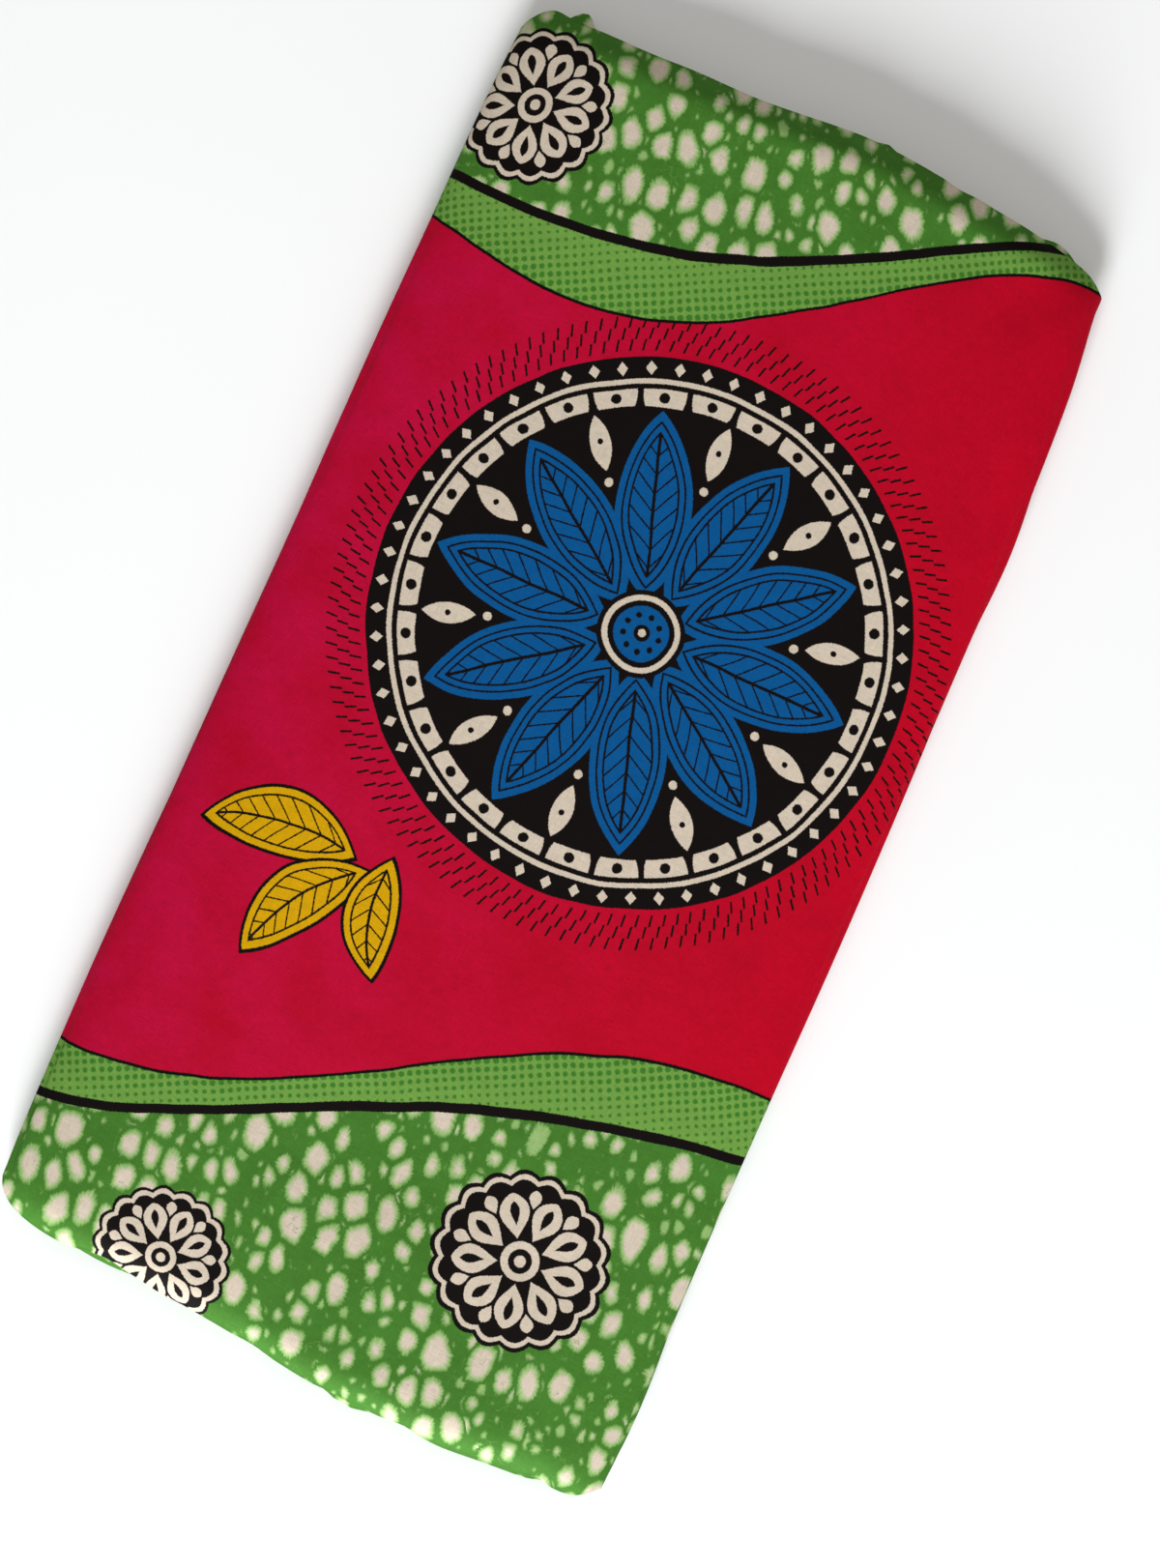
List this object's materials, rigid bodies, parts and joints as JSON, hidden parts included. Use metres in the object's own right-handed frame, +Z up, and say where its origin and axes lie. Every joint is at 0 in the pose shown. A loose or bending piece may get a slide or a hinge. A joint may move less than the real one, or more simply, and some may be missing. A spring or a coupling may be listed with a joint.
{
  "type": "folded wax print fabric",
  "caption": "Long cotton wax print cloth, selvedges turned in to the middle and wound flat into a soft oblong packet with rolled long edges and layered end folds.",
  "frame": {"origin": "middle of the packet's footprint, on the surface that it lies on", "axes": "+Y along the packet's length, towards the end shown at the top of the picture; +X across it, towards the picture's right; +Z up, out of the printed top"},
  "size_m": [0.2946, 0.5966, 0.0255],
  "materials": {
    "printed_cotton": "smooth plain-woven cotton with a crisp matt print in crimson, greens, blue, cream, yellow and black",
    "inner_cotton": "the same printed cotton, where its green ground shows at the end folds",
    "folded_edges": "the same printed cotton, in many close folds"
  },
  "bodies": {
    "root": {"outer_lap": "printed_cotton", "second_lap": "inner_cotton", "folded_core": "folded_edges"}
  },
  "joints": []
}
